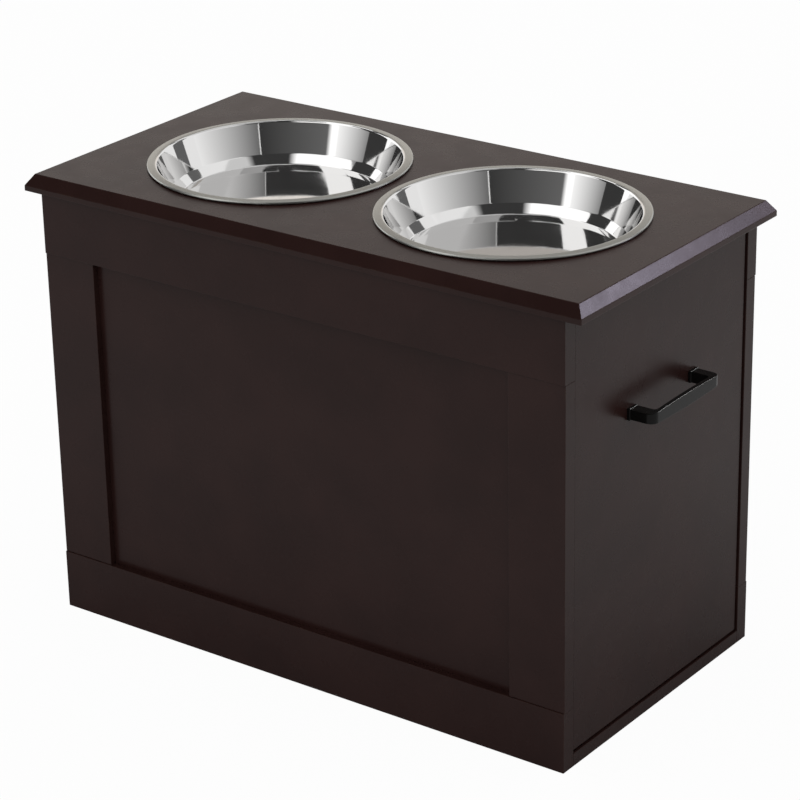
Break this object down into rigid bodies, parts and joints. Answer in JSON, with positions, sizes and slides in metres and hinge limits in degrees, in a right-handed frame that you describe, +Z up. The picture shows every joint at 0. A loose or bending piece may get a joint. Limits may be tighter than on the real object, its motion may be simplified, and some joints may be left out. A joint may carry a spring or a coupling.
{
  "type": "elevated dog feeder with storage drawer",
  "caption": "Raised feeding stand: a panelled cabinet with steel bowls hung in its bevelled top board and a storage drawer that pulls out of one end on ball-bearing slides.",
  "frame": {"origin": "on the floor, under the middle of the cabinet", "axes": "+X towards the drawer end, -Y towards the front, +Z up"},
  "size_m": [0.5905, 0.304, 0.4231],
  "materials": {
    "espresso_paint": "satin espresso paint on fibreboard",
    "beech": "bare beech",
    "bowl_steel": "satin rim, polished inside",
    "bright_steel": "bright rolled steel",
    "zinc_plate": "bright zinc plating",
    "black_casting": "satin black powder coat",
    "black_rubber": "matt"
  },
  "bodies": {
    "root": {"top_board": "espresso_paint", "base_board": "espresso_paint", "left_end_panel": "espresso_paint", "front_top_rail": "espresso_paint", "front_bottom_rail": "espresso_paint", "front_left_stile": "espresso_paint", "front_right_stile": "espresso_paint", "front_panel": "espresso_paint", "rear_top_rail": "espresso_paint", "rear_bottom_rail": "espresso_paint", "rear_left_stile": "espresso_paint", "rear_right_stile": "espresso_paint", "rear_panel": "espresso_paint", "frame_dowels": "beech", "top_dowels": "beech", "cabinet_cam_bolts": "zinc_plate", "cabinet_cam_nuts": "zinc_plate", "front_channel": "zinc_plate", "rear_channel": "zinc_plate", "channel_screws": "zinc_plate", "slide_bumpers": "black_rubber"},
    "drawer": {"drawer_front": "espresso_paint", "drawer_side_front": "espresso_paint", "drawer_side_rear": "espresso_paint", "drawer_back": "espresso_paint", "drawer_bottom": "espresso_paint", "drawer_cam_bolts": "zinc_plate", "drawer_cam_nuts": "zinc_plate", "drawer_back_screws": "zinc_plate", "front_runner": "zinc_plate", "rear_runner": "zinc_plate", "runner_screws": "zinc_plate", "handle": "black_casting", "handle_screws": "zinc_plate"},
    "front_cage": {"front_ball_cage": "bright_steel", "front_balls": "bright_steel"},
    "rear_cage": {"rear_ball_cage": "bright_steel", "rear_balls": "bright_steel"},
    "left_bowl": {"bowl_left": "bowl_steel"},
    "right_bowl": {"bowl_right": "bowl_steel"}
  },
  "joints": [
    {"name": "drawer_slide", "type": "slide", "parent": "root", "child": "drawer", "axis": [1, 0, 0], "range_m": [0, 0.3]},
    {"name": "front_cage_roll", "type": "slide", "parent": "root", "child": "front_cage", "axis": [1, 0, 0], "range_m": [0, 0.15]},
    {"name": "rear_cage_roll", "type": "slide", "parent": "root", "child": "rear_cage", "axis": [1, 0, 0], "range_m": [0, 0.15]},
    {"name": "left_bowl_lift", "type": "slide", "parent": "root", "child": "left_bowl", "axis": [0, 0, 1], "range_m": [0, 0.1]},
    {"name": "right_bowl_lift", "type": "slide", "parent": "root", "child": "right_bowl", "axis": [0, 0, 1], "range_m": [0, 0.1]}
  ],
  "couplings": [
    {"joint": "front_cage_roll", "follows": "drawer_slide", "ratio": 0.5},
    {"joint": "rear_cage_roll", "follows": "drawer_slide", "ratio": 0.5}
  ]
}
